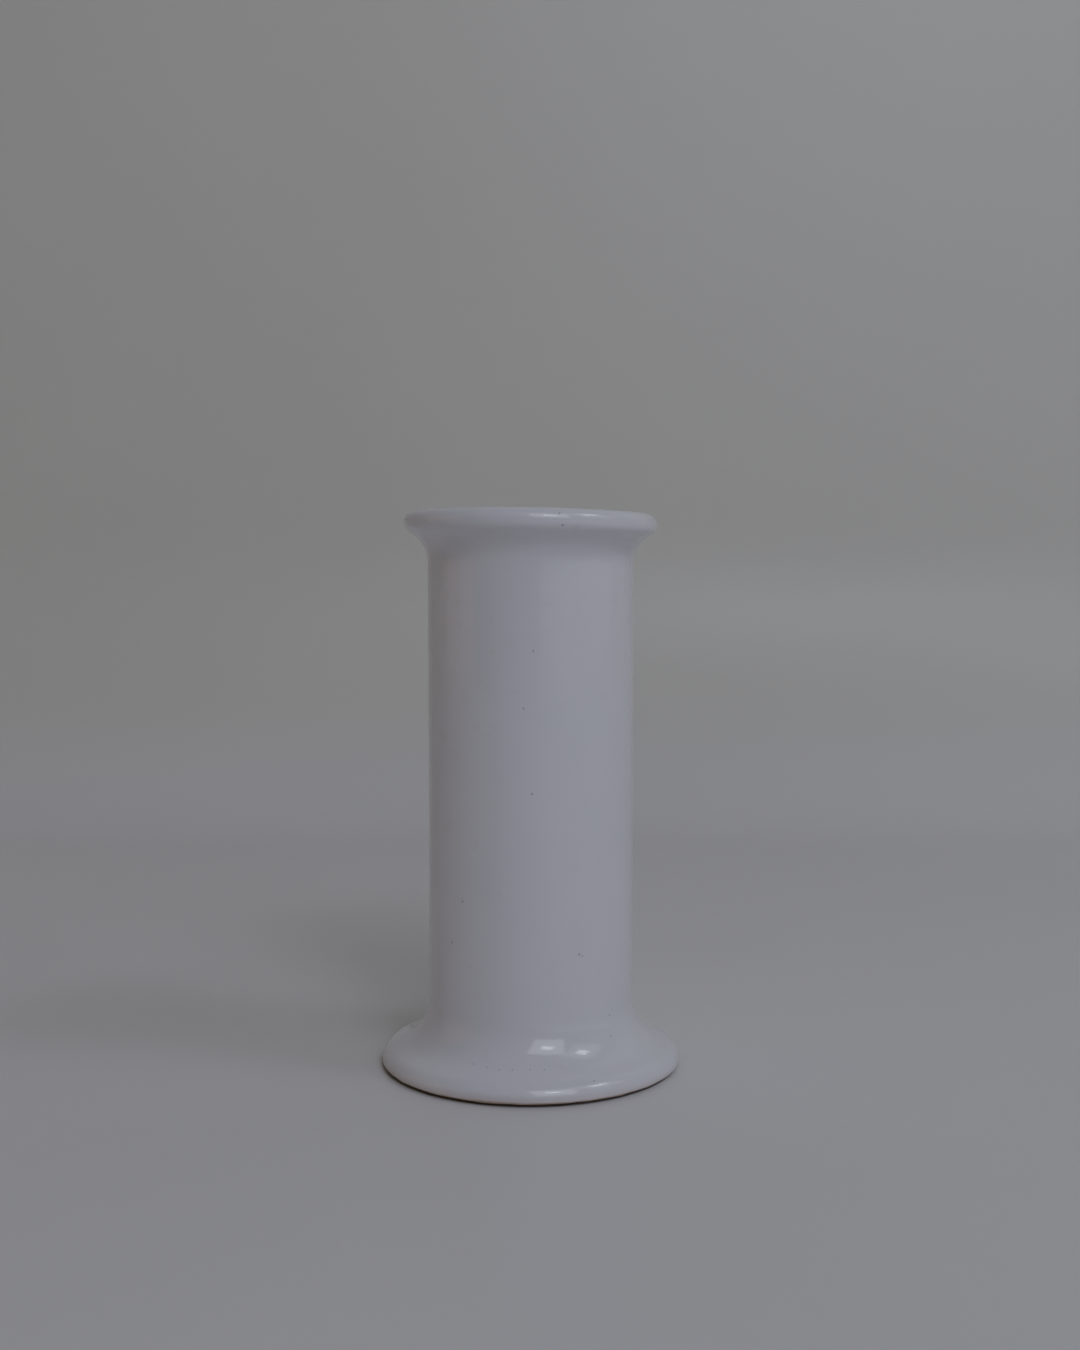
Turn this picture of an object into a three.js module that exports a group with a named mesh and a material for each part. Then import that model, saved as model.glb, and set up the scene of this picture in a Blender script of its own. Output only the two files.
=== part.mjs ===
// Glazed ceramic cylinder vase with a rolled, flared lip and a wide flanged foot.
// Millimetres, +Z up. The origin is on the vase's axis, in the plane that the foot ring stands on.
// Every piece is a solid of revolution: one fired clay body and the three coats of glaze on it.

import * as THREE from "three";

// Driving dimensions of the glazed outside.
const HEIGHT = 200; // table to the crest of the lip
const WALL_RADIUS = 37;
const LIP_RADIUS = 45.5;
const FOOT_RADIUS = 54;

// Driving dimensions of the glazed inside.
const CAVITY_RADIUS = 32.4;
const FLOOR_HEIGHT = 9.5;

// Glaze: the thickness of each coat, and the hairline left where it meets clay or another coat.
const COAT = 0.5;
const HAIRLINE = 0.02;

// Foot flange: a rounded edge, a straight slope and a fillet into the wall.
const FOOT_ROLL = 6;
const FOOT_SLOPE = 68; // degrees that the slope's outward normal rises above level
const FOOT_FILLET = 17;
const EDGE_HEIGHT = 2; // height of the flange's widest point
const EDGE_ROUND = 0.9; // small round under the flange's edge

// Lip: a fillet out of the wall, a straight underside and a round roll at the rim.
const LIP_ROLL = 4.1;
const LIP_SLOPE = 54; // degrees that the underside leans out from upright
const LIP_FILLET = 11.5;

// Mouth: the inside of the lip, from the roll down to the upright inner wall.
const MOUTH_SLOPE = 38; // degrees that the mouth leans out from upright
const MOUTH_BEND = 12;
const SEAM_ANGLE = 120; // where on the roll the outer coat and the liner meet, from level outwards
const CORNER_ROUND = 9; // inner wall into floor

// Underside: a bare clay ring that the vase stands on, round a glazed recess.
const RING_OUTER = 52;
const RING_ROUND = 0.7;
const RECESS_RADIUS = 43.5;
const RECESS_HEIGHT = 2.8;
const RECESS_ROUND = 1.8;

// Facets: one ring of every profile has this many sides, a multiple of four.
const SIDES = 40;

const DEGREE = Math.PI / 180;
const UP = 90;
const OUT = 0;
const IN = 180;

// Heights and centres that follow from the driving dimensions.
const clayDepth = COAT + HAIRLINE;
const footRun =
  FOOT_RADIUS - WALL_RADIUS - (FOOT_ROLL + FOOT_FILLET) * (1 - Math.cos(FOOT_SLOPE * DEGREE));
const footFilletTop =
  EDGE_HEIGHT +
  (FOOT_ROLL + FOOT_FILLET) * Math.sin(FOOT_SLOPE * DEGREE) +
  footRun / Math.tan(FOOT_SLOPE * DEGREE);

const rollRadius = LIP_RADIUS - LIP_ROLL;
const rollHeight = HEIGHT - LIP_ROLL;
const lipRun =
  LIP_RADIUS - WALL_RADIUS - (LIP_ROLL + LIP_FILLET) * (1 - Math.cos(LIP_SLOPE * DEGREE));
const lipFilletStart =
  rollHeight -
  (LIP_ROLL + LIP_FILLET) * Math.sin(LIP_SLOPE * DEGREE) -
  lipRun / Math.tan(LIP_SLOPE * DEGREE);

const mouthRun =
  rollRadius -
  CAVITY_RADIUS -
  MOUTH_BEND +
  (MOUTH_BEND - LIP_ROLL) * Math.cos(MOUTH_SLOPE * DEGREE);
const mouthBendStart =
  rollHeight -
  (MOUTH_BEND - LIP_ROLL) * Math.sin(MOUTH_SLOPE * DEGREE) -
  mouthRun / Math.tan(MOUTH_SLOPE * DEGREE);

// Points of a round stretch of profile, both ends included. Angles are in degrees, 0 is away from the axis.
function arc(radius, height, bend, start, end, steps) {
  const points = [];
  for (let i = 0; i <= steps; i += 1) {
    const angle = (start + ((end - start) * i) / steps) * DEGREE;
    points.push(new THREE.Vector2(radius + bend * Math.cos(angle), height + bend * Math.sin(angle)));
  }
  return points;
}

// Outside from the flange's under-edge up to the seam on the lip, at a depth below the glazed face.
function outsideFace(depth) {
  return [
    ...arc(FOOT_RADIUS - EDGE_ROUND, EDGE_HEIGHT, EDGE_ROUND - depth, -UP, OUT, 2),
    ...arc(FOOT_RADIUS - FOOT_ROLL, EDGE_HEIGHT, FOOT_ROLL - depth, OUT, FOOT_SLOPE, 4).slice(1),
    ...arc(WALL_RADIUS + FOOT_FILLET, footFilletTop, FOOT_FILLET + depth, IN + FOOT_SLOPE, IN, 4),
    ...arc(WALL_RADIUS + LIP_FILLET, lipFilletStart, LIP_FILLET + depth, IN, IN - LIP_SLOPE, 4),
    ...arc(rollRadius, rollHeight, LIP_ROLL - depth, -LIP_SLOPE, UP, 6),
    ...arc(rollRadius, rollHeight, LIP_ROLL - depth, UP, SEAM_ANGLE, 2).slice(1),
  ];
}

// Inside from the lip down the mouth and the wall to the middle of the floor.
function insideFace(depth, startAngle) {
  return [
    ...arc(rollRadius, rollHeight, LIP_ROLL - depth, startAngle, IN - MOUTH_SLOPE, 2),
    ...arc(CAVITY_RADIUS + MOUTH_BEND, mouthBendStart, MOUTH_BEND - depth, IN - MOUTH_SLOPE, IN, 3),
    ...arc(CAVITY_RADIUS - CORNER_ROUND, FLOOR_HEIGHT + CORNER_ROUND, CORNER_ROUND + depth, OUT, -UP, 4),
    new THREE.Vector2(0, FLOOR_HEIGHT - depth),
  ];
}

// Recess in the underside, from the middle out to the foot ring.
function recessFace(depth) {
  return [
    new THREE.Vector2(0, RECESS_HEIGHT + depth),
    ...arc(RECESS_RADIUS - RECESS_ROUND, RECESS_HEIGHT - RECESS_ROUND, RECESS_ROUND + depth, UP, OUT, 3),
  ];
}

// Foot ring, from the recess round the flat that meets the table and out to the flange's underside.
function footRing() {
  const innerRadius = RECESS_RADIUS + clayDepth;
  const undersideHeight = EDGE_HEIGHT - EDGE_ROUND + clayDepth;
  return [
    ...arc(innerRadius + RING_ROUND, RING_ROUND, RING_ROUND, IN, IN + UP, 2),
    ...arc(RING_OUTER - RING_ROUND, RING_ROUND, RING_ROUND, -UP, OUT, 2),
    new THREE.Vector2(RING_OUTER, undersideHeight),
  ];
}

// A closed solid from its profile, turned from the lathe's Y axis to the vase's Z axis.
function turned(profile) {
  return new THREE.LatheGeometry(profile, SIDES).rotateX(Math.PI / 2);
}

function part(name, geometry, material) {
  const mesh = new THREE.Mesh(geometry, material);
  mesh.name = name;
  return mesh;
}

const clay = new THREE.MeshStandardMaterial({ color: 0xd3bfa3, roughness: 0.85, metalness: 0 });
const whiteGlaze = new THREE.MeshStandardMaterial({ color: 0xe4e5e8, roughness: 0.15, metalness: 0 });
const linerWhite = new THREE.MeshStandardMaterial({ color: 0xe2e2e2, roughness: 0.2, metalness: 0 });
const baseWhite = new THREE.MeshStandardMaterial({ color: 0xdedcd8, roughness: 0.3, metalness: 0 });

const clayProfile = [
  ...recessFace(clayDepth),
  ...footRing(),
  ...outsideFace(clayDepth),
  ...insideFace(clayDepth, SEAM_ANGLE).slice(1),
];

// Each coat runs between its glazed face and the face that is bonded to the clay.
const bondedOutside = outsideFace(COAT).reverse();
const outsideProfile = [...outsideFace(0), ...bondedOutside, outsideFace(0)[0]];

const seamHairline = HAIRLINE / LIP_ROLL / DEGREE;
const linerStart = SEAM_ANGLE + seamHairline;
const linerProfile = [...insideFace(COAT, linerStart).reverse(), ...insideFace(0, linerStart)];

const baseProfile = [...recessFace(0), ...recessFace(COAT).reverse()];

const vase = new THREE.Group();
vase.add(part("clay_body", turned(clayProfile), clay));
vase.add(part("outer_glaze", turned(outsideProfile), whiteGlaze));
vase.add(part("liner_glaze", turned(linerProfile), linerWhite));
vase.add(part("base_glaze", turned(baseProfile), baseWhite));

export default vase;
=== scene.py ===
"""White glazed ceramic cylinder vase: a fired clay body and three coats of glaze, on a plain sweep."""

from collections import namedtuple
from math import atan2, ceil, cos, degrees, exp, hypot, pi, radians, sin

import bmesh
import bpy
from bpy.props import FloatProperty, FloatVectorProperty, IntProperty, PointerProperty
from mathutils import Matrix, Vector, noise
from mathutils.bvhtree import BVHTree


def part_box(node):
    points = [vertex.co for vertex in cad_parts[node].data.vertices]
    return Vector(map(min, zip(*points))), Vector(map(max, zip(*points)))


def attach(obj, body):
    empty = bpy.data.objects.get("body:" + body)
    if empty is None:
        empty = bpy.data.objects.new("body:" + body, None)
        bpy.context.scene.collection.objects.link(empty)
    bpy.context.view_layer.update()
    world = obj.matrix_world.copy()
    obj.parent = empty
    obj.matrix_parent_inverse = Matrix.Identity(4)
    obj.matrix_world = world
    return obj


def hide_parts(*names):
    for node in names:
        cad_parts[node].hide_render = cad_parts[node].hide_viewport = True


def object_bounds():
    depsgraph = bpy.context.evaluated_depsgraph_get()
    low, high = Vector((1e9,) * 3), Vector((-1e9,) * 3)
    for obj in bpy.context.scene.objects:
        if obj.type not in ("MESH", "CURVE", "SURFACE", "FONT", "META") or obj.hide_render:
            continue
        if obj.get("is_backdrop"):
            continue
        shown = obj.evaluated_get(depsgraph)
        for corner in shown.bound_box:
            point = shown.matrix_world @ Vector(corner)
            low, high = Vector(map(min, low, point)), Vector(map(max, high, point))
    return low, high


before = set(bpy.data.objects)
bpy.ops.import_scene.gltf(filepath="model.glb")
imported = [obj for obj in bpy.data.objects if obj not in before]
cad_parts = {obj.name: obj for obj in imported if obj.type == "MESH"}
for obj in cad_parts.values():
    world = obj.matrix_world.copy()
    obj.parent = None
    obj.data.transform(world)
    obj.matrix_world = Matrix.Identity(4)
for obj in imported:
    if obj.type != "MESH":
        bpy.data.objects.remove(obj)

bl_info = {
    "name": "Glazed Cylinder Vase",
    "version": (1, 0, 0),
    "blender": (4, 5, 0),
    "location": "3D View > Sidebar > Vase",
    "description": "Turns a glazed ceramic vase from its clay body and coats, and lights it on a sweep",
    "category": "Add Mesh",
}

BODY = "root"
MM = 0.001


# ---------------------------------------------------------------- sizes read from the frame


def radii(node, low, high):
    """The least and greatest distance from the axis of a CAD node's corners between two heights."""
    corners = [v.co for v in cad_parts[node].data.vertices if low <= v.co.z <= high]
    found = [hypot(c.x, c.y) for c in corners]
    return min(found), max(found)


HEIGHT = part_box("outer_glaze")[1].z

# Heights between which the wall is upright outside and inside, the lip is rolled, and the foot ring stands.
UPRIGHT_OUTSIDE = (0.10 * HEIGHT, 0.85 * HEIGHT)
UPRIGHT_INSIDE = (0.09 * HEIGHT, 0.85 * HEIGHT)
ON_THE_ROLL = (0.95 * HEIGHT, HEIGHT)
ON_THE_RING = (0.0, 0.9 * MM)

FOOT_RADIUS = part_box("outer_glaze")[1].x
BONDED_WALL, WALL_RADIUS = radii("outer_glaze", *UPRIGHT_OUTSIDE)
LIP_RADIUS = radii("outer_glaze", *ON_THE_ROLL)[1]
CAVITY_RADIUS = radii("liner_glaze", *UPRIGHT_INSIDE)[0]
COAT = WALL_RADIUS - BONDED_WALL
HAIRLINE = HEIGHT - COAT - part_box("clay_body")[1].z
FLOOR_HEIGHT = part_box("liner_glaze")[0].z + COAT
RECESS_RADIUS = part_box("base_glaze")[1].x - COAT
RECESS_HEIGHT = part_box("base_glaze")[1].z - COAT
RING_OUTER = radii("clay_body", *ON_THE_RING)[1]


def length(name, description, default):
    return FloatProperty(
        name=name, description=description, default=default, min=0.0, unit="LENGTH", precision=5
    )


def turn(name, description, default):
    return FloatProperty(name=name, description=description, default=radians(default), unit="ROTATION")


def colour(name, description, default):
    return FloatVectorProperty(
        name=name, description=description, default=default, min=0.0, max=1.0, size=3, subtype="COLOR"
    )


def number(name, description, default):
    return FloatProperty(name=name, description=description, default=default, min=0.0)


def share(name, description, default):
    return FloatProperty(name=name, description=description, default=default, min=0.0, max=1.0)


class VaseSizes(bpy.types.PropertyGroup):
    """Glazed sizes of the vase."""

    height: length("Height", "Table to the crest of the lip", HEIGHT)
    foot_radius: length("Foot radius", "Widest point of the foot flange", FOOT_RADIUS)
    wall_radius: length("Wall radius", "Outside of the upright wall", WALL_RADIUS)
    lip_radius: length("Lip radius", "Widest point of the lip", LIP_RADIUS)
    cavity_radius: length("Cavity radius", "Inside of the upright wall", CAVITY_RADIUS)
    floor_height: length("Floor height", "Table to the glazed floor inside", FLOOR_HEIGHT)
    coat: length("Glaze thickness", "Thickness of every coat of glaze", COAT)
    hairline: length("Hairline", "Gap left between a coat and the clay", HAIRLINE)
    foot_roll: length("Foot roll", "Radius of the flange's rounded edge", 6 * MM)
    foot_slope: turn("Foot slope", "How far the slope's outward normal rises above level", 68)
    foot_fillet: length("Foot fillet", "Radius between the flange and the wall", 17 * MM)
    edge_height: length("Edge height", "Height of the flange's widest point", 2 * MM)
    edge_round: length("Edge round", "Small round under the flange's edge", 0.9 * MM)
    lip_roll: length("Lip roll", "Radius of the rolled rim", 4.1 * MM)
    lip_slope: turn("Lip slope", "How far the lip's underside leans out", 54)
    lip_fillet: length("Lip fillet", "Radius between the wall and the lip", 11.5 * MM)
    mouth_slope: turn("Mouth slope", "How far the mouth leans out", 38)
    mouth_bend: length("Mouth bend", "Radius between the mouth and the inner wall", 12 * MM)
    seam_angle: turn("Seam angle", "Where the outer coat and the liner meet on the roll", 120)
    corner_round: length("Corner round", "Radius between the inner wall and the floor", 9 * MM)
    ring_outer: length("Ring radius", "Outside of the foot ring", RING_OUTER)
    ring_round: length("Ring round", "Rounded edges of the foot ring", 0.7 * MM)
    recess_radius: length("Recess radius", "Glazed recess inside the foot ring", RECESS_RADIUS)
    recess_height: length("Recess height", "Table to the recess", RECESS_HEIGHT)
    recess_round: length("Recess round", "Radius between the recess and the ring", 1.8 * MM)


class VaseHandwork(bpy.types.PropertyGroup):
    """How far the turned and glazed shape strays from a perfect one."""

    segments: IntProperty(name="Segments", description="Steps round the vase", default=256, min=48)
    rim_tilt: turn("Rim tilt", "The rim stands higher on one side", 0.75)
    rim_droop: turn("Rim droop", "The widest part of the lip tilts further than its crest", 0.5)
    oval: length("Oval", "How far the wall is out of round", 0.12 * MM)
    wall_wave: length("Wall wave", "Depth of the soft waves left by turning", 0.06 * MM)
    bead: length("Glaze bead", "How far the glaze gathers at its lower edge", 0.16 * MM)
    edge_wander: length("Edge wander", "How unevenly the glaze's lower edge runs", 0.22 * MM)
    throwing_ring: length("Throwing ring", "Depth of the finger rings inside", 0.14 * MM)
    ring_pitch: length("Ring pitch", "Rise from one finger ring to the next", 7 * MM)


class VaseColours(bpy.types.PropertyGroup):
    """Colours and gloss of the clay and the glaze."""

    glaze: colour("Glaze", "Thick white glaze", (0.80, 0.785, 0.82))
    glaze_cool: colour("Pooled glaze", "Glaze where it lies thickest", (0.765, 0.767, 0.805))
    glaze_base: colour("Base glaze", "Glaze in the recess of the underside", (0.76, 0.74, 0.70))
    glaze_thin: colour("Thin glaze", "Glaze over an edge, with the clay showing through", (0.46, 0.31, 0.18))
    clay: colour("Bare clay", "Fired clay where it is left unglazed", (0.60, 0.46, 0.32))
    # This dark clay colour is worn clay where the ring touches tables, and also painted shade on the ring's
    # outside and the flange's underside.
    worn_and_shaded_clay: colour("Worn clay", "Clay that has picked up dirt from tables", (0.12, 0.088, 0.064))
    speck: colour("Speck", "Iron specks and the bottoms of pinholes", (0.16, 0.12, 0.09))
    gloss: share("Glaze roughness", "Roughness of the clean glaze", 0.10)


class VaseStage(bpy.types.PropertyGroup):
    """The sweep, the lights and the camera."""

    floor_front: length("Floor in front", "Flat floor on the camera's side of the vase", 6.0)
    floor_behind: length("Floor behind", "Flat floor behind the vase before it turns up", 0.47)
    sweep_bend: length("Sweep bend", "Radius of the turn-up", 0.22)
    sweep_width: length("Sweep width", "Left edge to right edge", 12.0)
    sweep_height: length("Sweep height", "Top of the backdrop", 2.6)
    floor: colour("Floor", "Pale floor", (0.79, 0.775, 0.75))
    wall: colour("Wall", "Backdrop", (0.745, 0.735, 0.645))
    cloud: colour("Clouding", "Faint darker patches in the paint", (0.42, 0.42, 0.42))
    daylight: colour("Daylight", "Colour of the two window lights", (0.755, 0.79, 0.98))
    room: colour("Room", "Colour of the light from all round", (1.0, 0.965, 0.91))
    lamp: colour("Lamp", "Colour of the warm bounce from the shaded side", (1.0, 0.74, 0.42))
    front_brightness: number("Front window", "Radiance of the front window", 2.0)
    side_brightness: number("Side window", "Radiance of the side window", 0.84)
    core_brightness: number("Cores", "Radiance added mid-window", 8.0)
    card_brightness: number("Card", "Radiance of the low bounce card", 0.38)
    room_brightness: number("Room light", "Radiance of the room", 0.068)
    warm_brightness: number("Warm bounce", "Radiance of the warm bounce", 0.26)
    camera_distance: length("Camera distance", "Axis of the vase to the camera", 0.564)
    camera_height: length("Camera height", "Table to the camera", 0.175)
    camera_side: length("Camera side", "Camera to the right of the axis", 0.0034)
    camera_pitch: turn("Camera pitch", "How far the camera looks down", 3.4)
    lens: number("Lens", "Focal length in millimetres", 41.6)


# ---------------------------------------------------------------- turning profiles

# A round stretch of profile: its centre, its radius, and the degrees it starts and ends at, from level
# outwards. A hollow stretch has the clay outside it, so its radius grows with depth below the glaze.
Stretch = namedtuple("Stretch", "radius height bend start end hollow")


def outside_stretches(s):
    """Outside, from the flange's under-edge up to the seam on the lip."""
    slope, lean, seam = degrees(s.foot_slope), degrees(s.lip_slope), degrees(s.seam_angle)
    bends = s.foot_roll + s.foot_fillet
    run = s.foot_radius - s.wall_radius - bends * (1 - cos(s.foot_slope))
    tan_slope = sin(s.foot_slope) / cos(s.foot_slope)
    fillet_top = s.edge_height + bends * sin(s.foot_slope) + run / tan_slope
    roll_radius, roll_height = s.lip_radius - s.lip_roll, s.height - s.lip_roll
    bends = s.lip_roll + s.lip_fillet
    run = s.lip_radius - s.wall_radius - bends * (1 - cos(s.lip_slope))
    tan_lean = sin(s.lip_slope) / cos(s.lip_slope)
    fillet_start = roll_height - bends * sin(s.lip_slope) - run / tan_lean
    return [
        Stretch(s.foot_radius - s.edge_round, s.edge_height, s.edge_round, -90, 0, False),
        Stretch(s.foot_radius - s.foot_roll, s.edge_height, s.foot_roll, 0, slope, False),
        Stretch(s.wall_radius + s.foot_fillet, fillet_top, s.foot_fillet, 180 + slope, 180, True),
        Stretch(s.wall_radius + s.lip_fillet, fillet_start, s.lip_fillet, 180, 180 - lean, True),
        Stretch(roll_radius, roll_height, s.lip_roll, -lean, seam, False),
    ]


def inside_stretches(s, seam_gap=0.0):
    """Inside, from the seam on the lip down the mouth and the wall to the middle of the floor."""
    start, lean = degrees(s.seam_angle) + seam_gap, degrees(s.mouth_slope)
    roll_radius, roll_height = s.lip_radius - s.lip_roll, s.height - s.lip_roll
    bends = s.mouth_bend - s.lip_roll
    run = roll_radius - s.cavity_radius - s.mouth_bend + bends * cos(s.mouth_slope)
    bend_start = roll_height - bends * sin(s.mouth_slope) - run * cos(s.mouth_slope) / sin(s.mouth_slope)
    corner_radius, corner_height = s.cavity_radius - s.corner_round, s.floor_height + s.corner_round
    return [
        Stretch(roll_radius, roll_height, s.lip_roll, start, 180 - lean, False),
        Stretch(s.cavity_radius + s.mouth_bend, bend_start, s.mouth_bend, 180 - lean, 180, False),
        Stretch(corner_radius, corner_height, s.corner_round, 0, -90, True),
        Stretch(0.0, s.floor_height, 0.0, -90, -90, True),
    ]


def recess_stretches(s):
    """Recess in the underside, from the middle out to the foot ring."""
    radius, height = s.recess_radius - s.recess_round, s.recess_height - s.recess_round
    return [
        Stretch(0.0, s.recess_height, 0.0, 90, 90, True),
        Stretch(radius, height, s.recess_round, 90, 0, True),
    ]


def ring_stretches(s):
    """Foot ring, from the recess round the flat that meets the table and out to the flange's underside."""
    depth = s.coat + s.hairline
    inner, underside = s.recess_radius + depth, s.edge_height - s.edge_round + depth
    return [
        Stretch(inner + s.ring_round, s.ring_round, s.ring_round, 180, 270, False),
        Stretch(s.ring_outer - s.ring_round, s.ring_round, s.ring_round, -90, 0, False),
        Stretch(s.ring_outer + s.ring_round, underside - s.ring_round, s.ring_round, 180, 90, False),
    ]


NO_LENGTH = 1e-7
SAME_PLACE = 1e-6
SHARP_ANGLE = radians(50)


class Outline:
    """A profile in the XZ plane, drawn by extruding and spinning its last corner, then spun round the axis."""

    def __init__(self, spacing, bend_step=5.0):
        self.bm = bmesh.new()
        self.spacing = spacing
        self.bend_step = bend_step
        self.first = None
        self.tip = None

    def line(self, radius, height):
        end = Vector((max(radius, 0.0), 0.0, height))
        if self.tip is None:
            self.first = self.tip = self.bm.verts.new(end)
            return
        start = self.tip.co.copy()
        run = (end - start).length
        if run < NO_LENGTH:
            return
        pieces = ceil(run / self.spacing)
        for piece in range(1, pieces + 1):
            made = bmesh.ops.extrude_vert_indiv(self.bm, verts=[self.tip])
            self.tip = made["verts"][0]
            self.tip.co = start.lerp(end, piece / pieces)

    def bend(self, radius, height, angle):
        made = bmesh.ops.spin(
            self.bm,
            geom=[self.tip],
            cent=(radius, 0.0, height),
            axis=(0.0, -1.0, 0.0),
            angle=radians(angle),
            steps=max(2, ceil(abs(angle) / self.bend_step)),
        )
        self.tip = next(g for g in made["geom_last"] if isinstance(g, bmesh.types.BMVert))

    def draw(self, stretches, depth=0.0, back=False):
        """Follows the stretches at a depth below the glazed face, the other way round if back."""
        for a in reversed(stretches) if back else stretches:
            start, end = (a.end, a.start) if back else (a.start, a.end)
            bend = a.bend + depth if a.hollow else a.bend - depth
            self.line(a.radius + bend * cos(radians(start)), a.height + bend * sin(radians(start)))
            if start != end:
                self.bend(a.radius, a.height, end - start)
        return self

    def coarser(self):
        """A face that lies against the clay needs fewer corners than one that shows."""
        self.spacing, self.bend_step = 10 * self.spacing, 2.5 * self.bend_step
        return self

    def close(self):
        self.line(self.first.co.x, self.first.co.z)
        return self

    def turned(self, segments):
        """Spins the outline once round the vase's axis into a closed shell that faces outwards."""
        bmesh.ops.remove_doubles(self.bm, verts=self.bm.verts[:], dist=SAME_PLACE)
        bmesh.ops.spin(
            self.bm,
            geom=self.bm.verts[:] + self.bm.edges[:],
            cent=(0.0, 0.0, 0.0),
            axis=(0.0, 0.0, 1.0),
            angle=2 * pi,
            steps=segments,
            use_merge=True,
        )
        bmesh.ops.remove_doubles(self.bm, verts=self.bm.verts[:], dist=SAME_PLACE)
        bmesh.ops.recalc_face_normals(self.bm, faces=self.bm.faces[:])
        return self.bm


# ---------------------------------------------------------------- handwork


# Bands of the height, as shares of it, over which each hand-made fault sets in or fades.
OVAL_SETS_IN = (0.05, 0.2)
WAVES_SET_IN = (0.02, 0.12)
TILT_SETS_IN = (0.8, 0.955)
DROOP_SETS_IN = (0.955, 0.975)
DROOP_FADES = (0.98, 1.0)
CREST_SETS_IN = (0.9, 1.0)
FINGERS_FADE = (0.85, 0.93)

OVAL_TURN = 0.9
WAVES_ROUND = 0.7
WAVES_UP = 22 * MM
CREST_RISE = 0.12 * MM
CREST_TURN = 0.4
EDGE_CIRCLE = 2.2
EDGE_COARSE = 2.6
EDGE_FINE = 7.0
BEAD_ROUND = 1.7
BEAD_HALF = 1.3 * MM
EDGE_BLEND = 0.5 * MM
FINGER_MIDDLE = (1.5 * MM, 6 * MM)
FINGER_RIM = (0.62, 0.8)
FLOOR_PITCH = 0.6
ON_AXIS = 1e-9


def ramp(value, low, high):
    """0 below low and 1 above high, with a smooth rise between."""
    t = min(max((value - low) / (high - low), 0.0), 1.0)
    return t * t * (3 - 2 * t)


def up(point, s, band):
    """How far a point has come through a band of the height, from 0 below it to 1 above it."""
    low, high = band
    return ramp(point.z, low * s.height, high * s.height)


def settled(point, s, hand):
    """Where a point of the perfect shape ends up after turning, drying and firing."""
    radius, azimuth = hypot(point.x, point.y), atan2(point.y, point.x)
    if radius < ON_AXIS:
        return point.copy()
    out = up(point, s, OVAL_SETS_IN) * hand.oval * cos(2 * azimuth + OVAL_TURN)
    place = Vector((WAVES_ROUND * cos(azimuth), WAVES_ROUND * sin(azimuth), point.z / WAVES_UP))
    out += up(point, s, WAVES_SET_IN) * hand.wall_wave * noise.noise(place)
    tilt = hand.rim_tilt * up(point, s, TILT_SETS_IN)
    tilt += hand.rim_droop * up(point, s, DROOP_SETS_IN) * (1 - up(point, s, DROOP_FADES))
    rise = -point.x * tilt
    rise += CREST_RISE * up(point, s, CREST_SETS_IN) * sin(3 * azimuth + CREST_TURN)
    scale = (radius + out) / radius
    return Vector((point.x * scale, point.y * scale, point.z + rise))


def beaded(point, s, hand):
    """The outer coat's lower edge: glaze gathers in a bead there, and its edge wanders."""
    azimuth = atan2(point.y, point.x)
    round_edge = Vector((EDGE_CIRCLE * cos(azimuth), EDGE_CIRCLE * sin(azimuth), 0.0))
    wander = noise.noise(round_edge * EDGE_COARSE)
    wander += 0.5 * noise.noise(round_edge * EDGE_FINE + Vector((5, 1, 3)))
    near = exp(-(((point.z - s.edge_height) / BEAD_HALF) ** 2))
    drop = 1 - ramp(point.z, s.edge_height - s.edge_round, s.edge_height + EDGE_BLEND)
    fat = hand.bead * near * (0.75 + 0.5 * noise.noise(round_edge * BEAD_ROUND + Vector((2, 7, 1))))
    radius = hypot(point.x, point.y)
    scale = (radius + fat) / radius
    return Vector((point.x * scale, point.y * scale, point.z + hand.edge_wander * wander * drop))


def finger_ringed(point, s, hand):
    """The liner's glazed face follows the finger rings of the clay, up the wall and round the floor."""
    radius, azimuth = hypot(point.x, point.y), atan2(point.y, point.x)
    climb = azimuth / (2 * pi) * hand.ring_pitch
    if point.z > s.floor_height + s.corner_round:
        fade = 1 - up(point, s, FINGERS_FADE)
        wave = sin(2 * pi * (point.z + climb) / hand.ring_pitch)
        scale = (radius - 0.5 * hand.throwing_ring * (1 + wave) * fade) / radius
        return Vector((point.x * scale, point.y * scale, point.z))
    rim_start, rim_end = FINGER_RIM
    fade = ramp(radius, *FINGER_MIDDLE)
    fade *= 1 - ramp(radius, rim_start * s.cavity_radius, rim_end * s.cavity_radius)
    wave = sin(2 * pi * (radius + FLOOR_PITCH * climb) / (FLOOR_PITCH * hand.ring_pitch))
    return Vector((point.x, point.y, point.z + 0.5 * hand.throwing_ring * (1 + wave) * fade))


def moved(bm, place):
    for v in bm.verts:
        v.co = place(v.co)


def finished(bm, name, node, material):
    """A turned shell as a named piece that rides on the vase and stands for its CAD node."""
    mesh = bpy.data.meshes.new(name)
    for face in bm.faces:
        face.smooth = True
    bm.to_mesh(mesh)
    bm.free()
    mesh.set_sharp_from_angle(angle=SHARP_ANGLE)
    mesh.materials.append(material)
    piece = bpy.data.objects.new(name, mesh)
    bpy.context.scene.collection.objects.link(piece)
    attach(piece, BODY)
    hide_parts(node)


# ---------------------------------------------------------------- shader nodes


SPOT_SOFTNESS = 0.5


class Value:
    """A number that a shader works out. Arithmetic on it adds Math nodes."""

    def __init__(self, shader, socket):
        self.shader = shader
        self.socket = socket

    def _math(self, operation, a, b):
        return self.shader.node("ShaderNodeMath", {"operation": operation}, {0: a, 1: b})

    def __add__(self, other):
        return self._math("ADD", self, other)

    def __radd__(self, other):
        return self._math("ADD", other, self)

    def __sub__(self, other):
        return self._math("SUBTRACT", self, other)

    def __rsub__(self, other):
        return self._math("SUBTRACT", other, self)

    def __mul__(self, other):
        return self._math("MULTIPLY", self, other)


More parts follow.
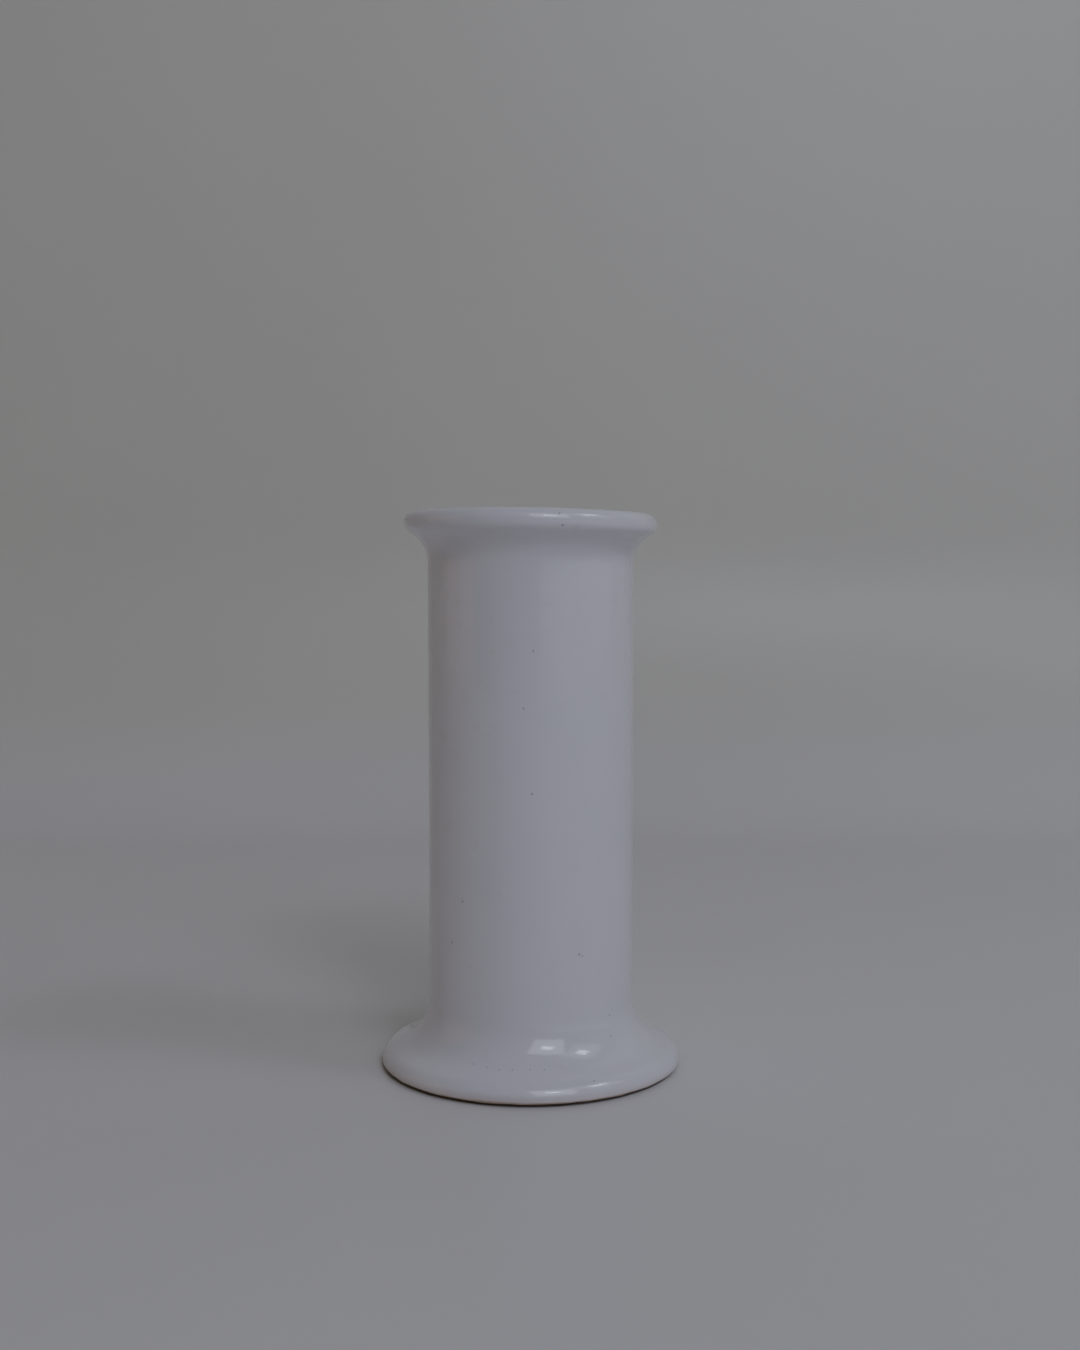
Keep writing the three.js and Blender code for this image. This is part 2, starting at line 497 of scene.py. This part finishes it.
class Shader:
    """A material's node tree, with one method that adds any node."""

    def __init__(self, name):
        self.material = bpy.data.materials.new(name)
        self.material.use_nodes = True
        self.tree = self.material.node_tree
        self.tree.nodes.clear()
        self.position = self.node("ShaderNodeTexCoord", out="Object")

    def node(self, kind, settings=None, sockets=None, out=0):
        """Adds a node, sets it up, then fills its sockets with numbers, colours or other nodes' values."""
        added = self.tree.nodes.new(kind)
        for name, setting in (settings or {}).items():
            setattr(added, name, setting)
        for name, value in (sockets or {}).items():
            if isinstance(value, Value):
                self.tree.links.new(value.socket, added.inputs[name])
            else:
                added.inputs[name].default_value = value
        return Value(self, added.outputs[out])

    def noise(self, size, detail=2.0, roughness=0.5, stretch=None):
        """Soft noise from 0 to 1 with features about as long as size, in metres."""
        place = self.position
        if stretch:
            place = self.node("ShaderNodeVectorMath", {"operation": "MULTIPLY"}, {0: place, 1: stretch})
        sockets = {"Vector": place, "Scale": 1 / size, "Detail": detail, "Roughness": roughness}
        return self.node("ShaderNodeTexNoise", None, sockets, "Fac")

    def rise(self, value, low, high):
        """0 below low and 1 above high, with a smooth rise between."""
        sockets = {"Value": value, "From Min": low, "From Max": high}
        settings = {"interpolation_type": "SMOOTHSTEP", "clamp": True}
        return self.node("ShaderNodeMapRange", settings, sockets)

    def larger(self, a, b):
        return self.node("ShaderNodeMath", {"operation": "MAXIMUM"}, {0: a, 1: b})

    def height(self):
        return self.node("ShaderNodeSeparateXYZ", None, {0: self.position}, "Z")

    def from_axis(self):
        """Distance from the vase's axis."""
        flat = self.node(
            "ShaderNodeVectorMath", {"operation": "MULTIPLY"}, {0: self.position, 1: (1.0, 1.0, 0.0)}
        )
        return self.node("ShaderNodeVectorMath", {"operation": "LENGTH"}, {0: flat}, "Value")

    def near(self, place, radius):
        """1 close to a place, fading to 0 about radius away from it."""
        apart = self.node(
            "ShaderNodeVectorMath", {"operation": "DISTANCE"}, {0: self.position, 1: place}, "Value"
        )
        return 1 - self.rise(apart, radius * (1 - SPOT_SOFTNESS), radius * (1 + SPOT_SOFTNESS))

    def blend(self, factor, a, b):
        """Colour a where factor is 0 and colour b where it is 1."""
        settings = {"data_type": "RGBA", "clamp_factor": True}
        return self.node("ShaderNodeMix", settings, {0: factor, 6: a, 7: b}, 2)

    def bump(self, height, distance):
        sockets = {"Height": height, "Distance": distance, "Strength": 1.0}
        return self.node("ShaderNodeBump", None, sockets)

    def surface(self, base, roughness, normal, **constants):
        sockets = {"Base Color": base, "Roughness": roughness, "Normal": normal, **constants}
        shader = self.node("ShaderNodeBsdfPrincipled", None, sockets, "BSDF")
        self.node_output(shader)
        return self.material

    def node_output(self, shader):
        output = self.tree.nodes.new("ShaderNodeOutputMaterial")
        self.tree.links.new(shader.socket, output.inputs["Surface"])


# Sizes of the markings in the glaze, the clay and the paint.
BROAD_MOTTLE = 38 * MM
FINE_MOTTLE = 5 * MM
SPECK_SPACING = 9 * MM
SPECK_RADIUS = 0.20 * MM
PINHOLE_SPACING = 13 * MM
PINHOLE_RADIUS = 0.34 * MM
RIPPLE = 2.6 * MM
SWELL = 11 * MM
LINER_RINGS = 3.5 * MM
GRAIN = 0.7 * MM
CLAY_PATCH = 14 * MM
WEAR_PATCH = 6 * MM
GROG_SPACING = 1.8 * MM
GROG_RADIUS = 0.22 * MM
TURNING_LINE = 0.55 * MM
PAINT_CLOUD = 350 * MM
PAINT_TOOTH = 1.2 * MM

# Bands over which thin glaze, wear and painted shade give way: heights above the table, or distances from an
# edge.
THIN_LINE = (1.35 * MM, 2.4 * MM)
THIN_BLUSH = (1.8 * MM, 4.6 * MM)
FINE_WANDER = 0.9 * MM
BROAD_WANDER = 1.6 * MM
RIM_BELOW = 1.0 * MM
RIM_ABOVE = 0.8 * MM
RECESS_EDGE = (2.2 * MM, 0.4 * MM)
RECESS_WANDER = 3 * MM
WORN_HEIGHT = (0.05 * MM, 0.6 * MM)
# Width over which the painted shade under the flange sets in, just inside the foot ring's outer edge.
PAINTED_SHADE_DEPTH = 0.5 * MM
WALL_TONE = (0.0, 100 * MM)

PIT_DARKNESS = 0.42
GLAZE_FINISH = {"IOR": 1.52, "Coat Weight": 0.45, "Coat Roughness": 0.05}
CLAY_FINISH = {"IOR": 1.45}
CLAY_ROUGHNESS = 0.82
PAINT_FINISH = {"IOR": 1.4}
PAINT_ROUGHNESS = 0.34


def rgba(values):
    return (*values, 1.0)


def scattered_specks(shader, cell, rarity, size):
    """Tiny round specks, about one in so many cells."""
    sockets = {"Vector": shader.position, "Scale": 1 / cell, "Randomness": 1.0}
    apart = shader.node("ShaderNodeTexVoronoi", {"feature": "F1"}, sockets, "Distance")
    which = shader.node("ShaderNodeTexVoronoi", {"feature": "F1"}, sockets, "Color")
    picked = shader.node("ShaderNodeSeparateColor", None, {0: which}, "Red")
    dot = 1 - shader.rise(apart, 0.5 * size / cell, size / cell)
    return dot * shader.rise(picked, 1 - 1 / rarity, 1 - 0.9 / rarity)


def thin_rim(shader, s, broad):
    """The faint patches of thin glaze along the crest of the lip."""
    rim = shader.rise(shader.height(), s.height - RIM_BELOW, s.height + RIM_ABOVE)
    return rim * shader.rise(broad, 0.4, 0.7) * 0.06


def glaze_material(name, colours, white, thin_edges, pits=(), rings=0.0):
    """White glaze: soft mottling, ripples, pinholes with dark bottoms, and clay showing at thin edges.

    thin_edges says, from 0 to 1, where the glaze is thin. pits are (place, radius) pairs. rings is the rise
    of the finger rings that show through, if any.
    """
    shader = Shader(name)
    broad = shader.noise(BROAD_MOTTLE, 3.0)
    fine = shader.noise(FINE_MOTTLE, 3.0, 0.6)
    base = shader.blend(shader.rise(broad, 0.35, 0.75) * 0.55, rgba(white), rgba(colours.glaze_cool))
    base = shader.blend(shader.rise(fine, 0.55, 0.8) * 0.10, base, rgba(colours.clay))
    thin = thin_edges(shader, broad, fine)
    base = shader.blend(thin, base, rgba(colours.glaze_thin))
    specks = scattered_specks(shader, SPECK_SPACING, 7, SPECK_RADIUS)
    pinholes = scattered_specks(shader, PINHOLE_SPACING, 6, PINHOLE_RADIUS)
    dark = specks * 0.55
    hollow = pinholes
    for place, radius in pits:
        spot = shader.near(place, radius)
        dark = shader.larger(dark, spot * PIT_DARKNESS)
        hollow = shader.larger(hollow, spot)
    base = shader.blend(shader.larger(dark, pinholes * 0.3), base, rgba(colours.speck))
    ripples = shader.noise(RIPPLE, 2.0, 0.5) * 0.6 + shader.noise(SWELL, 1.0) * 1.2
    relief = ripples * 0.012 - hollow * 0.16
    if rings:
        relief = relief + shader.noise(rings, 1.0, 0.4, stretch=(0.08, 0.08, 1.0)) * 0.05
    normal = shader.bump(relief, MM)
    roughness = colours.gloss + shader.rise(broad, 0.3, 0.8) * 0.05 + thin * 0.22 + hollow * 0.25
    return shader.surface(base, roughness, normal, **GLAZE_FINISH)


def clay_material(colours, ring_outer):
    """Fired buff clay: grog, turning lines, wear where it touches tables, and painted shade darkening the
    outside of the foot ring under the flange.
    """
    shader = Shader("fired_buff_clay")
    grain = shader.noise(GRAIN, 4.0, 0.7)
    patch = shader.noise(CLAY_PATCH, 3.0)
    base = shader.blend(shader.rise(patch, 0.3, 0.75) * 0.5, rgba(colours.clay), rgba(colours.glaze_thin))
    grog = scattered_specks(shader, GROG_SPACING, 3, GROG_RADIUS)
    base = shader.blend(grog * 0.75, base, rgba(colours.speck))
    low = 1 - shader.rise(shader.height(), *WORN_HEIGHT)
    wear = low * shader.rise(shader.noise(WEAR_PATCH, 4.0, 0.7), 0.35, 0.65)
    base = shader.blend(wear * 0.7, base, rgba(colours.worn_and_shaded_clay))
    # Painted shade: the ring's outside and the flange's underside are darkened, standing in for the shadow
    # under the flange's overhang.
    painted_shade = shader.rise(shader.from_axis(), ring_outer - PAINTED_SHADE_DEPTH, ring_outer) * 0.8
    base = shader.blend(painted_shade, base, rgba(colours.worn_and_shaded_clay))
    turns = shader.from_axis() * (2 * pi / TURNING_LINE)
    lines = shader.node("ShaderNodeMath", {"operation": "SINE"}, {0: turns})
    relief = grain * 0.10 + lines * 0.02 - grog * 0.06
    roughness = CLAY_ROUGHNESS + grain * 0.12
    return shader.surface(base, roughness, shader.bump(relief, MM), **CLAY_FINISH)


# ---------------------------------------------------------------- operators

# Pinholes and pits on the outside: degrees round from the front, height and radius in millimetres.
LIP_PINHOLES = ((12.6, 198.0, 0.36), (13.9, 193.9, 0.38), (-52.0, 196.0, 0.26), (143.0, 197.0, 0.36))
WALL_PINHOLES = (
    (1.0, 103.0, 0.40),
    (1.6, 151.6, 0.36),
    (-3.6, 132.3, 0.34),
    (-39.6, 64.5, 0.38),
    (-47.8, 49.3, 0.36),
    (27.2, 46.9, 0.42),
    (29.0, 46.2, 0.30),
    (48.4, 23.3, 0.32),
    (46.2, 16.5, 0.30),
    (96.0, 81.0, 0.40),
    (121.0, 142.0, 0.35),
    (164.0, 58.0, 0.42),
    (-101.0, 118.0, 0.38),
    (-138.0, 36.0, 0.40),
    (-160.0, 166.0, 0.33),
)
FOOT_PITS = (
    (-26.2, 10.6, 0.25),
    (-19.2, 10.3, 0.22),
    (-13.6, 10.0, 0.25),
    (-7.8, 10.1, 0.27),
    (0.0, 10.3, 0.24),
    (6.2, 10.2, 0.22),
    (25.0, 7.0, 0.30),
    (77.0, 8.0, 0.28),
    (-118.0, 10.6, 0.26),
    (151.0, 9.0, 0.30),
)


def on_surface(outside, azimuth, height):
    """Where a level line from outside meets the outer coat. Azimuth runs to the right from the front."""
    level = Vector((sin(radians(azimuth)), -cos(radians(azimuth)), 0.0))
    start = level + Vector((0.0, 0.0, height * MM))
    place = outside.ray_cast(start, -level)[0]
    if place is None:
        raise RuntimeError(f"nothing to mark at {azimuth} degrees and {height} mm")
    return tuple(place)


class VASE_OT_clay_body(bpy.types.Operator):
    """Turn the fired clay body: wall, lip, foot flange, floor and the bare ring it stands on"""

    bl_idname = "vase.clay_body"
    bl_label = "Clay body"

    def execute(self, context):
        s, hand = context.scene.vase_sizes, context.scene.vase_handwork
        depth = s.coat + s.hairline
        outline = Outline(spacing=2.5 * MM, bend_step=7.5)
        outline.draw(recess_stretches(s), depth).draw(ring_stretches(s))
        outline.draw(outside_stretches(s), depth).draw(inside_stretches(s), depth)
        bm = outline.turned(hand.segments)
        moved(bm, lambda point: settled(point, s, hand))
        material = clay_material(context.scene.vase_colours, s.ring_outer)
        finished(bm, "fired_clay_body", "clay_body", material)
        return {"FINISHED"}


class VASE_OT_outer_glaze(bpy.types.Operator):
    """Coat the outside in white glaze, from its bead under the foot flange to the seam on the lip"""

    bl_idname = "vase.outer_glaze"
    bl_label = "Outer glaze"

    def execute(self, context):
        s, hand, colours = context.scene.vase_sizes, context.scene.vase_handwork, context.scene.vase_colours
        stretches = outside_stretches(s)
        outline = Outline(spacing=2.0 * MM, bend_step=3.0)
        outline.draw(stretches).coarser().draw(stretches, s.coat, back=True).close()
        bm = outline.turned(hand.segments)
        moved(bm, lambda point: settled(beaded(point, s, hand), s, hand))
        outside = BVHTree.FromBMesh(bm)
        marks = LIP_PINHOLES + WALL_PINHOLES + FOOT_PITS
        pits = [(on_surface(outside, azimuth, height), radius * MM) for azimuth, height, radius in marks]

        def thin_edges(shader, broad, fine):
            low_edge = shader.height() + (fine - 0.5) * FINE_WANDER + (broad - 0.5) * BROAD_WANDER
            line = (1 - shader.rise(low_edge, *THIN_LINE)) * 0.85
            blush = (1 - shader.rise(low_edge, *THIN_BLUSH)) * 0.32
            return shader.larger(shader.larger(line, blush), thin_rim(shader, s, broad))

        material = glaze_material("glossy_white_glaze", colours, colours.glaze, thin_edges, pits)
        finished(bm, "outer_white_glaze", "outer_glaze", material)
        return {"FINISHED"}


class VASE_OT_liner_glaze(bpy.types.Operator):
    """Coat the inside in white glaze, over the finger rings of the wall and the floor"""

    bl_idname = "vase.liner_glaze"
    bl_label = "Liner glaze"

    def execute(self, context):
        s, hand = context.scene.vase_sizes, context.scene.vase_handwork
        seam_gap = degrees(s.hairline / s.lip_roll)
        stretches = inside_stretches(s, seam_gap)
        outline = Outline(spacing=1.0 * MM, bend_step=4.5)
        outline.draw(stretches).coarser().draw(stretches, s.coat, back=True).close()
        bm = outline.turned(hand.segments)
        wall_half, floor_half = s.cavity_radius + 0.5 * s.coat, s.floor_height - 0.5 * s.coat

        def place(point):
            glazed = hypot(point.x, point.y) < wall_half and point.z > floor_half
            return settled(finger_ringed(point, s, hand) if glazed else point, s, hand)

        moved(bm, place)

        def thin_edges(shader, broad, fine):
            return thin_rim(shader, s, broad)

        colours = context.scene.vase_colours
        white = colours.glaze
        material = glaze_material("glossy_liner_glaze", colours, white, thin_edges, rings=LINER_RINGS)
        finished(bm, "liner_white_glaze", "liner_glaze", material)
        return {"FINISHED"}


class VASE_OT_base_glaze(bpy.types.Operator):
    """Coat the recess in the underside, inside the bare foot ring"""

    bl_idname = "vase.base_glaze"
    bl_label = "Base glaze"

    def execute(self, context):
        s, hand = context.scene.vase_sizes, context.scene.vase_handwork
        stretches = recess_stretches(s)
        outline = Outline(spacing=2.0 * MM, bend_step=9.0)
        outline.draw(stretches).draw(stretches, s.coat, back=True).close()
        bm = outline.turned(hand.segments)

        def thin_edges(shader, broad, fine):
            out = shader.from_axis() + (broad - 0.5) * RECESS_WANDER
            inside, past = RECESS_EDGE
            return shader.rise(out, s.recess_radius - inside, s.recess_radius + past) * 0.8

        colours = context.scene.vase_colours
        material = glaze_material("glossy_base_glaze", colours, colours.glaze_base, thin_edges)
        finished(bm, "base_white_glaze", "base_glaze", material)
        return {"FINISHED"}


# A light: degrees round to the right from the camera's side, degrees up, metres from the vase's middle,
# width and height, and the names of the stage settings that hold its radiance and its colour.
Light = namedtuple("Light", "name azimuth elevation distance size radiance tint")
LIGHTS = (
    Light("window_front", 20, 39, 3.0, (1.62, 1.80), "front_brightness", "daylight"),
    Light("window_front_core", 20, 40, 2.9, (0.52, 0.36), "core_brightness", "daylight"),
    Light("window_side", 69, 46, 3.0, (1.56, 1.44), "side_brightness", "daylight"),
    Light("window_side_core", 69, 48, 2.9, (0.52, 0.36), "core_brightness", "daylight"),
    Light("bounce_card", 57, -4, 2.9, (6.0, 0.94), "card_brightness", "daylight"),
    Light("warm_bounce", -95, 12, 2.5, (3.0, 1.6), "warm_brightness", "lamp"),
)


def hang(lamp, middle, stage):
    """Adds one soft rectangular light that faces the vase's middle."""
    a, e = radians(lamp.azimuth), radians(lamp.elevation)
    away = Vector((cos(e) * sin(a), -cos(e) * cos(a), sin(e)))
    data = bpy.data.lights.new(lamp.name, "AREA")
    data.shape = "RECTANGLE"
    data.size, data.size_y = lamp.size
    data.color = getattr(stage, lamp.tint)
    data.energy = getattr(stage, lamp.radiance) * pi * lamp.size[0] * lamp.size[1]
    light = bpy.data.objects.new(lamp.name, data)
    light.location = middle + away * lamp.distance
    light.rotation_euler = away.to_track_quat("Z", "Y").to_euler()
    light.visible_camera = False
    bpy.context.scene.collection.objects.link(light)


def sweep_material(stage):
    """Satin painted board: the floor's tone runs into the wall's, with a fine tooth and faint clouding."""
    shader = Shader("sweep_paint")
    tone = shader.rise(shader.height(), *WALL_TONE)
    base = shader.blend(tone, rgba(stage.floor), rgba(stage.wall))
    cloud = shader.rise(shader.noise(PAINT_CLOUD, 2.0), 0.2, 0.8) * 0.08
    base = shader.blend(cloud, base, rgba(stage.cloud))
    tooth = shader.noise(PAINT_TOOTH, 2.0)
    roughness = PAINT_ROUGHNESS + tooth * 0.1
    return shader.surface(base, roughness, shader.bump(tooth * 0.02, MM), **PAINT_FINISH)


class VASE_OT_stage(bpy.types.Operator):
    """Lay the pale sweep, hang the lights and set the camera"""

    bl_idname = "vase.stage"
    bl_label = "Stage"

    def execute(self, context):
        scene, stage = context.scene, context.scene.vase_stage
        flat = stage.floor_front + stage.floor_behind
        outline = Outline(spacing=0.5, bend_step=3.0)
        outline.line(0.0, 0.0)
        outline.line(flat, 0.0)
        outline.bend(flat, stage.sweep_bend, 90)
        outline.line(flat + stage.sweep_bend, stage.sweep_height)
        bm = outline.bm
        drawn = bmesh.ops.extrude_edge_only(bm, edges=bm.edges[:])["geom"]
        far_side = [v for v in drawn if isinstance(v, bmesh.types.BMVert)]
        bmesh.ops.translate(bm, verts=far_side, vec=(0.0, stage.sweep_width, 0.0))
        bmesh.ops.translate(bm, verts=bm.verts[:], vec=(-stage.floor_front, -stage.sweep_width / 2, 0.0))
        bmesh.ops.rotate(bm, verts=bm.verts[:], matrix=Matrix.Rotation(pi / 2, 3, "Z"))
        bmesh.ops.recalc_face_normals(bm, faces=bm.faces[:])
        mesh = bpy.data.meshes.new("sweep")
        for face in bm.faces:
            face.smooth = True
        bm.to_mesh(mesh)
        bm.free()
        mesh.materials.append(sweep_material(stage))
        sweep = bpy.data.objects.new("sweep", mesh)
        scene.collection.objects.link(sweep)
        sweep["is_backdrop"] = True

        low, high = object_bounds()
        middle = (low + high) / 2
        for lamp in LIGHTS:
            hang(lamp, middle, stage)

        world = bpy.data.worlds.new("room")
        world.use_nodes = True
        background = world.node_tree.nodes["Background"]
        background.inputs["Color"].default_value = rgba(stage.room)
        background.inputs["Strength"].default_value = stage.room_brightness
        scene.world = world

        data = bpy.data.cameras.new("camera")
        data.lens = stage.lens
        camera = bpy.data.objects.new("camera", data)
        camera.location = (stage.camera_side, -stage.camera_distance, stage.camera_height)
        camera.rotation_euler = (pi / 2 - stage.camera_pitch, 0.0, 0.0)
        scene.collection.objects.link(camera)
        scene.camera = camera
        return {"FINISHED"}


class VASE_PT_panel(bpy.types.Panel):
    """The vase's pieces and sizes"""

    bl_idname = "VASE_PT_panel"
    bl_label = "Glazed Cylinder Vase"
    bl_space_type = "VIEW_3D"
    bl_region_type = "UI"
    bl_category = "Vase"

    def draw(self, context):
        for operator in OPERATORS:
            self.layout.operator(operator.bl_idname)
        for group in GROUPS:
            box = self.layout.box()
            settings = getattr(context.scene, group)
            for name in settings.bl_rna.properties.keys():
                if name not in ("rna_type", "name"):
                    box.prop(settings, name)


OPERATORS = (VASE_OT_clay_body, VASE_OT_outer_glaze, VASE_OT_liner_glaze, VASE_OT_base_glaze, VASE_OT_stage)
GROUPS = {
    "vase_sizes": VaseSizes,
    "vase_handwork": VaseHandwork,
    "vase_colours": VaseColours,
    "vase_stage": VaseStage,
}


def register():
    for made in (*GROUPS.values(), *OPERATORS, VASE_PT_panel):
        bpy.utils.register_class(made)
    for name, group in GROUPS.items():
        setattr(bpy.types.Scene, name, PointerProperty(type=group))


def unregister():
    for name in GROUPS:
        delattr(bpy.types.Scene, name)
    for made in (VASE_PT_panel, *OPERATORS, *GROUPS.values()):
        bpy.utils.unregister_class(made)


def main():
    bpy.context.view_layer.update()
    register()
    bpy.ops.vase.clay_body()
    bpy.ops.vase.outer_glaze()
    bpy.ops.vase.liner_glaze()
    bpy.ops.vase.base_glaze()
    bpy.ops.vase.stage()


if __name__ == "__main__":
    main()
